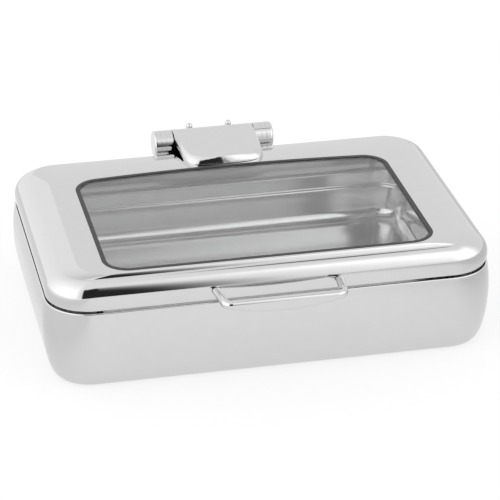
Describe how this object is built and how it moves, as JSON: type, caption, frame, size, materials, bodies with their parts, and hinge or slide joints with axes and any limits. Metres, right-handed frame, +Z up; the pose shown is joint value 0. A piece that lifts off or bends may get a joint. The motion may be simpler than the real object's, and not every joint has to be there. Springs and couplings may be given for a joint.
{
  "type": "induction chafing dish",
  "caption": "Oblong polished steel chafing dish for an induction hob, with a lift-out food pan and a glass-window lid on a rear barrel hinge.",
  "frame": {"origin": "centre of the induction plate's lower face, on which the dish rests", "axes": "+X to the right seen from the handle side, +Y to the hinge at the back, +Z up"},
  "size_m": [0.57, 0.4768, 0.1601],
  "materials": {
    "polished_steel": "mirror-polished stainless steel",
    "satin_steel": "satin stainless steel",
    "spring_steel": "ground steel",
    "aluminium": "plain",
    "tempered_glass": "clear tempered glass",
    "grey_silicone": "satin silicone",
    "black_silicone": "satin silicone",
    "bush_nylon": "moulded nylon"
  },
  "bodies": {
    "base": {"water_pan": "polished_steel", "rim_frame": "satin_steel", "induction_plate": "satin_steel", "aluminium_core": "aluminium", "lid_buffers": "black_silicone", "torsion_spring": "spring_steel", "hinge_axle": "spring_steel", "thrust_washers": "bush_nylon", "hinge_base": "polished_steel", "knuckle_cap_left": "polished_steel", "knuckle_cap_right": "polished_steel", "hinge_bracket": "satin_steel", "bracket_pad": "black_silicone", "bracket_studs": "satin_steel", "bracket_nuts": "satin_steel", "hinge_bolts": "satin_steel", "domed_nuts": "polished_steel"},
    "food_pan": {"food_pan": "satin_steel"},
    "lid": {"lid_shell": "polished_steel", "glass_pane": "tempered_glass", "window_gasket": "grey_silicone", "glass_frame": "satin_steel", "frame_studs": "satin_steel", "frame_nuts": "satin_steel", "hinge_leaf": "polished_steel", "leaf_screws": "satin_steel", "leaf_backing_plate": "satin_steel", "leaf_bushes": "bush_nylon", "damper_left": "bush_nylon", "damper_right": "bush_nylon", "handle_bar": "polished_steel", "handle_washers": "black_silicone", "handle_screws": "satin_steel"}
  },
  "joints": [
    {"name": "lid_hinge", "type": "hinge", "parent": "base", "child": "lid", "pos_m": [0, 0.2115, 0.1416], "axis": [-1, 0, 0], "range_deg": [0, 90]},
    {"name": "pan_lift", "type": "slide", "parent": "base", "child": "food_pan", "axis": [0, 0, 1], "range_m": [0, 0.03]}
  ]
}
